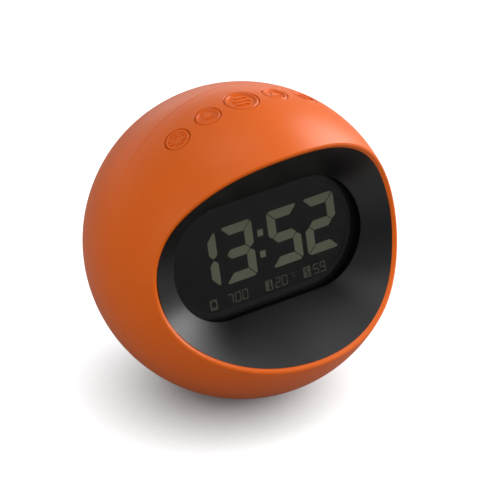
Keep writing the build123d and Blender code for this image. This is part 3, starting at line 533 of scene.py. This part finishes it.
teeth, tooth_root, tooth_tip, tooth_half_width = 8, 2.1, 2.95, 0.42
gear = bridged_ring(32, inner=1.45, outer=2.25)
for count in range(teeth):
    tooth = draw_box(gear, tooth_root, tooth_tip, -tooth_half_width, tooth_half_width)
    spin(gear, tooth, degrees=360 / teeth * count)
button_sign(gear, "set")
bell = bmesh.new()
draw_bell(bell, centre_x=0.3, centre_y=0.85, scale=1.7)
spin(bell, bell.verts, degrees=-13)
button_sign(bell, "down")
triangle = bmesh.new()
bmesh.ops.create_circle(triangle, cap_ends=True, radius=2.5, segments=3)
button_sign(triangle, "up")

# %% Three waves
wave_half_width, wave_height, wave_half_period = 0.36, 0.3, 3.2
waves = bmesh.new()
for offset, half_length in ((-2.3, 2.3), (0.0, 3.2), (2.3, 2.3)):
    low, high = offset - wave_half_width, offset + wave_half_width
    for vert in draw_box(waves, -half_length, half_length, low, high, steps=24):
        vert.co.y += wave_height * math.sin(vert.co.x / wave_half_period * math.pi)
spin(waves, waves.verts, degrees=-20)
button_sign(waves, "snooze")

# %% Lamp
bulb_height, beam_start, beam_end, beam_half_width = 0.25, 1.35, 2.05, 0.14
bulb_place = Matrix.Translation((0, bulb_height, 0))
lamp_sign = bmesh.new()
bmesh.ops.create_circle(lamp_sign, cap_ends=True, radius=1.0, segments=24, matrix=bulb_place)
draw_box(lamp_sign, -0.5, 0.5, -1.5, -0.95)  # foot of the lamp
for angle in (-90, -45, 0, 45, 90):
    beam = draw_box(lamp_sign, -beam_half_width, beam_half_width, beam_start, beam_end)
    spin(lamp_sign, beam, degrees=angle)
    bmesh.ops.translate(lamp_sign, verts=beam, vec=(0, bulb_height, 0))
button_sign(lamp_sign, "light")

# %% [markdown]
# ## Pieces inside
# Boards are green laminate with copper lines under the lacquer, chips and switches are black resin,
# connectors are pale nylon, and contacts, screws and the shell of the power inlet are bright metal. They
# stay hidden until the clock is opened, but each gets the finish that it has in a real clock, so the model
# can be taken apart on screen.

# %% Rubber, board, resin and nylon
rubber = new_finish("black_rubber", (0.02, 0.02, 0.02), roughness=0.75)
cloud(rubber, 150, dark=(0.017, 0.017, 0.017), light=(0.026, 0.026, 0.026))
grain(rubber, 1800, height=0.02)
dress(rubber, "foot_pad")
laminate = new_finish("green_laminate", (0.02, 0.12, 0.045), roughness=0.35)
cloud(laminate, 700, dark=(0.016, 0.10, 0.038), light=(0.03, 0.16, 0.06), stretch=(1, 1, 6))
grain(laminate, 900, height=0.01, stretch=(1, 1, 6))
dress(laminate, "main_board", "power_board")
resin = new_finish("black_resin", (0.015, 0.015, 0.016), roughness=0.5)
cloud(resin, 400, dark=(0.012, 0.012, 0.013), light=(0.02, 0.02, 0.021))
grain(resin, 4000, height=0.008)
plungers = [button + "_plunger" for button in button_angles]
chips = ("clock_chip", "temperature_sensor", "alarm_sounder")
dress(resin, *chips, "socket_insert", "button_switches", *plungers)
nylon = new_finish("pale_nylon", (0.72, 0.69, 0.6), roughness=0.45)
cloud(nylon, 300, dark=(0.68, 0.65, 0.56), light=(0.75, 0.72, 0.63))
grain(nylon, 2500, height=0.004)
dress(nylon, "ribbon_connector", "backlight_leds")

# %% Metal, film, striped rubber, light guide and leads
steel = new_finish("bright_steel", (0.62, 0.62, 0.63), roughness=0.28, metallic=1.0)
cloud(steel, 500, dark=(0.56, 0.56, 0.57), light=(0.68, 0.68, 0.69), stretch=(1, 1, 8))
screws = ("board_screws", "bracket_screws", "case_screws")
dress(steel, "quartz_crystal", "battery_contacts", "power_socket", *screws)
film = new_finish("ribbon_film", (0.55, 0.3, 0.08), roughness=0.4)
cloud(film, 900, dark=(0.45, 0.22, 0.05), light=(0.62, 0.36, 0.11), stretch=(8, 1, 1))
dress(film, "button_ribbon", "switch_strip")
strip = new_finish("striped_rubber", (0.3, 0.12, 0.12), roughness=0.6)
cloud(strip, 1500, dark=(0.03, 0.03, 0.03), light=(0.5, 0.22, 0.2), stretch=(8, 0.1, 0.1))
dress(strip, "zebra_strips")
guide = new_finish("light_guide", (0.8, 0.84, 0.86), roughness=0.2)
cloud(guide, 1200, dark=(0.74, 0.79, 0.82), light=(0.85, 0.88, 0.9))
dress(guide, "light_guide")
leads = new_finish("lead_insulation", (0.02, 0.02, 0.022), roughness=0.4)
cloud(leads, 300, dark=(0.016, 0.016, 0.018), light=(0.026, 0.026, 0.028))
dress(leads, "battery_leads", "power_leads", "sounder_leads")

# %% [markdown]
# ## Battery cells
# A slim cell is a metal can in a printed sleeve: dark for most of its length, with a pale band at the plus
# end, and bare metal at both ends. The three cells are one node and lie side by side, the middle one turned
# end for end. So the shader first asks which cell it is on, from how high the point lies across the row,
# and turns the lengthwise position round for the outer two. Then ramps with hard steps paint all three.

# %% Position along a cell
half_cell, half_pitch = 22.25 * mm, 5.5 * mm
sleeve = new_finish("cell_sleeve", (0.05, 0.055, 0.065), roughness=0.33)
sleeve_tree = sleeve.node_tree
point = sleeve_tree.nodes.new("ShaderNodeTexCoord").outputs["Object"]
up_the_row = sleeve_tree.nodes.new("ShaderNodeVectorMath")
up_the_row.operation = "DOT_PRODUCT"
up_the_row.inputs[1].default_value = display_turn.col[1][:3]
lengthwise = sleeve_tree.nodes.new("ShaderNodeSeparateXYZ")
sleeve_tree.links.new(point, up_the_row.inputs[0])
sleeve_tree.links.new(point, lengthwise.inputs["Vector"])
row_centre = ball_centre.dot(display_turn.col[1].to_3d())
off_centre = node_math(sleeve_tree, "SUBTRACT", up_the_row.outputs["Value"], row_centre)
off_centre = node_math(sleeve_tree, "ABSOLUTE", off_centre)
in_middle = node_math(sleeve_tree, "LESS_THAN", off_centre, half_pitch)
heading = node_math(sleeve_tree, "MULTIPLY_ADD", in_middle, 2.0, -1.0)
along_cell = node_math(sleeve_tree, "MULTIPLY", lengthwise.outputs["X"], heading)
along_cell = node_math(sleeve_tree, "MULTIPLY_ADD", along_cell, 0.5 / half_cell, 0.5)
print("middle of the row lies at", round(row_centre / mm, 2), "mm")


# %% Sleeve with a band and bare ends
def cell_ramp(socket, *steps):
    """Hard steps along the cell, from the minus end at 0 to the plus end at 1, into one shader socket."""
    ramp = sleeve_tree.nodes.new("ShaderNodeValToRGB")
    ramp.color_ramp.interpolation = "CONSTANT"
    while len(ramp.color_ramp.elements) < len(steps):
        ramp.color_ramp.elements.new(0.5)
    for element, (position, tone) in zip(ramp.color_ramp.elements, steps):
        element.position = position
        element.color = (*tone, 1)
    sleeve_tree.links.new(along_cell, ramp.inputs["Fac"])
    sleeve_tree.links.new(ramp.outputs["Color"], sleeve_tree.nodes["Principled BSDF"].inputs[socket])


bare, dark, pale = (0.62, 0.62, 0.63), (0.03, 0.035, 0.045), (0.52, 0.53, 0.55)
cell_ramp("Base Color", (0, bare), (0.012, dark), (0.7, pale), (0.72, dark), (0.735, pale), (0.955, bare))
cell_ramp("Metallic", (0, (1, 1, 1)), (0.012, (0, 0, 0)), (0.955, (1, 1, 1)))
grain(sleeve, 1500, height=0.003, edge=0.3)
dress(sleeve, "battery_cells")
print("without a finish:", sorted(set(nodes) - set(dressed)))

# %% [markdown]
# ## Painted shade of the cross recesses
# The four screws that hold the halves together sit deep in wells behind the clock. Each head has a cross
# for the screwdriver. The CAD head is a plain disc, so a thin dark cross on top of it is painted shade that
# stands for the shadowed recess.

# %% Painted shade of the crosses on the case screws
screw_reach, head_level = inner_radius - 4.0, -5.2
recess_shade_levels = (head_level - 0.02, head_level - 0.001)
arm, half_slot = 1.3, 0.27
painted_recess_shade = bmesh.new()
for angle in (-32, -64, -116, -148):
    turn = math.radians(angle)
    cross = draw_box(painted_recess_shade, -arm, arm, -half_slot, half_slot)
    cross += draw_box(painted_recess_shade, -half_slot, half_slot, half_slot, arm)
    cross += draw_box(painted_recess_shade, -half_slot, half_slot, -arm, -half_slot)
    shift = (screw_reach * math.cos(turn), screw_reach * math.sin(turn), 0)
    bmesh.ops.translate(painted_recess_shade, verts=cross, vec=shift)
# Painted shade: a dark resin cross in place of the shaded recess in each screw head.
raise_piece(painted_recess_shade, "screw_recess_shade", recess_shade_levels, display_place, resin, "clock")

# %% [markdown]
# ## Floor and surroundings
# The clock stands on a plain white floor in front of a white wall. The floor's own colour is a middle grey,
# which keeps its light off the clock, and the camera sees it lifted to white by a little emission. Mirror
# images see a part of that. An Ambient Occlusion node takes the lift away close to the clock, so the floor
# keeps a soft shadow there, and its normal leans to the right, because the main lamp stands on that side.

# %% Floor
shadow_reach, shaded, lit, mirrored_share = 0.05, 0.05, 0.675, 0.1
floor_shape = bmesh.new()
bmesh.ops.create_grid(floor_shape, x_segments=1, y_segments=1, size=3.0)
floor_mesh = bpy.data.meshes.new("floor")
floor_shape.to_mesh(floor_mesh)
floor_shape.free()
floor = bpy.data.objects.new("floor", floor_mesh)
bpy.context.scene.collection.objects.link(floor)
white_floor = new_finish("white_floor", (0.26, 0.26, 0.26), roughness=0.9, specular=0.0)
floor_tree = white_floor.node_tree
leaning = floor_tree.nodes.new("ShaderNodeCombineXYZ")
for socket, part in zip("XYZ", (0.46, 0.17, 0.88)):
    leaning.inputs[socket].default_value = part
shade = floor_tree.nodes.new("ShaderNodeAmbientOcclusion")
shade.samples = 16
shade.inputs["Distance"].default_value = shadow_reach
floor_tree.links.new(leaning.outputs["Vector"], shade.inputs["Normal"])
lift = node_range(floor_tree, shade.outputs["AO"], start=shaded, end=lit)
floor_ray = floor_tree.nodes.new("ShaderNodeLightPath").outputs
seen = node_math(floor_tree, "ADD", floor_ray["Is Camera Ray"], floor_ray["Is Transmission Ray"])
seen = node_math(floor_tree, "MULTIPLY_ADD", floor_ray["Is Glossy Ray"], mirrored_share, seen)
glow = node_math(floor_tree, "MULTIPLY", lift, seen)
floor_shader = floor_tree.nodes["Principled BSDF"]
floor_shader.inputs["Emission Color"].default_value = (1, 1, 1, 1)
floor_tree.links.new(glow, floor_shader.inputs["Emission Strength"])
floor_mesh.materials.append(white_floor)
print(white_floor.name, "has", len(floor_tree.nodes), "nodes")

# %% [markdown]
# ## World
# The world answers each kind of ray in its own way. The camera and glass see plain white. Diffuse light is
# kept low, so that the lamps model the ball. Mirror images see a room that is brighter behind and above
# the clock than in front of it, which gives the pale sheen along the ball's edge and leaves the bowl dark.

# %% World
world = bpy.data.worlds.new("studio")
bpy.context.scene.world = world
world.use_nodes = True
world_tree = world.node_tree
surround = world_tree.nodes["Background"]
surround.inputs["Color"].default_value = (1, 1, 1, 1)
world_ray = world_tree.nodes.new("ShaderNodeLightPath").outputs
direction = world_tree.nodes.new("ShaderNodeTexCoord").outputs["Generated"]
towards = world_tree.nodes.new("ShaderNodeSeparateXYZ")
world_tree.links.new(direction, towards.inputs["Vector"])
behind = node_range(world_tree, towards.outputs["Y"], start=0.5, end=0.95, low=0.1, high=0.8)
above = node_range(world_tree, towards.outputs["Z"], start=0.1, end=1.0, high=0.25)
mirrored = node_math(world_tree, "ADD", behind, above)
mirrored = node_math(world_tree, "MULTIPLY", mirrored, world_ray["Is Glossy Ray"])
ambient = node_math(world_tree, "MULTIPLY", world_ray["Is Diffuse Ray"], 0.3)
white = node_math(world_tree, "ADD", world_ray["Is Camera Ray"], world_ray["Is Transmission Ray"])
strength = node_math(world_tree, "ADD", node_math(world_tree, "MAXIMUM", mirrored, ambient), white)
world_tree.links.new(strength, surround.inputs["Strength"])
print(world.name, "has", len(world_tree.nodes), "nodes")

# %% [markdown]
# ## Lamps
# A large soft lamp on the right, level with the clock's middle from front to back, makes the broad
# highlight near the top of the opening and the bright patch in the bowl. A weak one overhead and a low one
# behind brighten the upper edge. Two large fills, one on the left and one in front, light the shaded side
# and the display. They stay out of mirror images, so that the dark bowl shows the highlights of the main
# lamp only.

# %% Lamps
def soft_lamp(name, place, size, power):
    """A rectangular area lamp of that size in metres and power in watts, aimed at the clock."""
    data = bpy.data.lights.new(name, "AREA")
    data.shape = "RECTANGLE"
    data.size, data.size_y = size
    data.energy = power
    lamp = bpy.data.objects.new(name, data)
    lamp.location = place
    lamp.rotation_euler = (ball_centre - Vector(place)).to_track_quat("-Z", "Y").to_euler()
    bpy.context.scene.collection.objects.link(lamp)
    print(name, "gives", power, "W")
    return lamp


soft_lamp("right_lamp", place=(1.095, 0.0, 0.535), size=(0.88, 0.85), power=12.9)
soft_lamp("top_lamp", place=(0.0, 0.1, 1.15), size=(0.7, 0.7), power=1.6)
soft_lamp("back_lamp", place=(0.561, 1.055, 0.16), size=(0.7, 0.35), power=0.8)
left_fill = soft_lamp("left_lamp", place=(-1.1, -0.39, 0.57), size=(1.2, 1.2), power=7.5)
front_fill = soft_lamp("front_lamp", place=(0.845, -0.91, 0.4435), size=(1.0, 1.0), power=7.2)
for fill in (left_fill, front_fill):
    fill.visible_glossy = False

# %% [markdown]
# ## Camera
# The picture was taken from the left front and well above: 35 degrees round and 30 degrees up, from about
# one and a half metres with a long lens, so that the ball stays a near-perfect circle.

# %% Camera
round_by, up_by, distance = math.radians(-35), math.radians(30), 1.469
camera_data = bpy.data.cameras.new("camera")
camera_data.lens = 310
camera_data.sensor_width = 36
camera_data.shift_x = -0.003
camera = bpy.data.objects.new("camera", camera_data)
sideways, forwards = math.sin(round_by) * math.cos(up_by), math.cos(round_by) * math.cos(up_by)
outward = Vector((sideways, -forwards, math.sin(up_by)))
camera.location = ball_centre + outward * distance
camera.rotation_euler = (-outward).to_track_quat("-Z", "Y").to_euler()
bpy.context.scene.collection.objects.link(camera)
bpy.context.scene.camera = camera
bpy.context.scene.view_settings.view_transform = "Standard"
print("camera at", tuple(round(c, 3) for c in camera.location))
